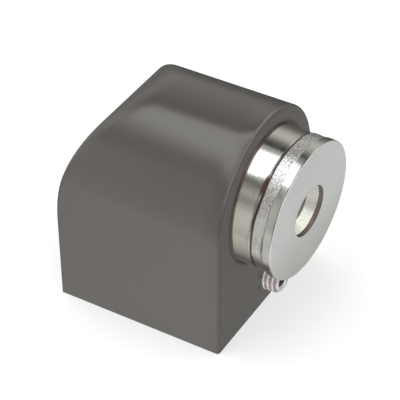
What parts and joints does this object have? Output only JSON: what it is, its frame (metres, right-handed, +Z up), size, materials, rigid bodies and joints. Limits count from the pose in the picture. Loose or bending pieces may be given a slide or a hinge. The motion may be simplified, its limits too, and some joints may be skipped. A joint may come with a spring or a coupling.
{
  "type": "magnetic door stop",
  "caption": "Floor-standing magnetic door stop with an arched graphite housing, a magnet in its end face, a steel counter plate on the magnet and a grub screw below.",
  "frame": {"origin": "centre of the housing's base, in the plane that stands on the floor", "axes": "+X towards the door, out of the magnet's end face; +Y across the end face; +Z up from the floor"},
  "size_m": [0.0457, 0.036, 0.0441],
  "materials": {
    "graphite_paint": "satin",
    "zinc_plate": "satin",
    "dark_screw_steel": "satin",
    "rubber_black": "matte",
    "nickel_bright": "polished",
    "ferrite": "matte",
    "zinc_screw": "satin",
    "nickel_satin": "satin"
  },
  "bodies": {
    "root": {"housing": "graphite_paint", "floor_plate": "zinc_plate", "set_screw": "dark_screw_steel", "cushion_washer": "rubber_black", "magnet_cup": "nickel_bright", "ring_magnet": "ferrite", "magnet_screw": "zinc_screw", "counter_plate": "nickel_satin"}
  },
  "joints": []
}
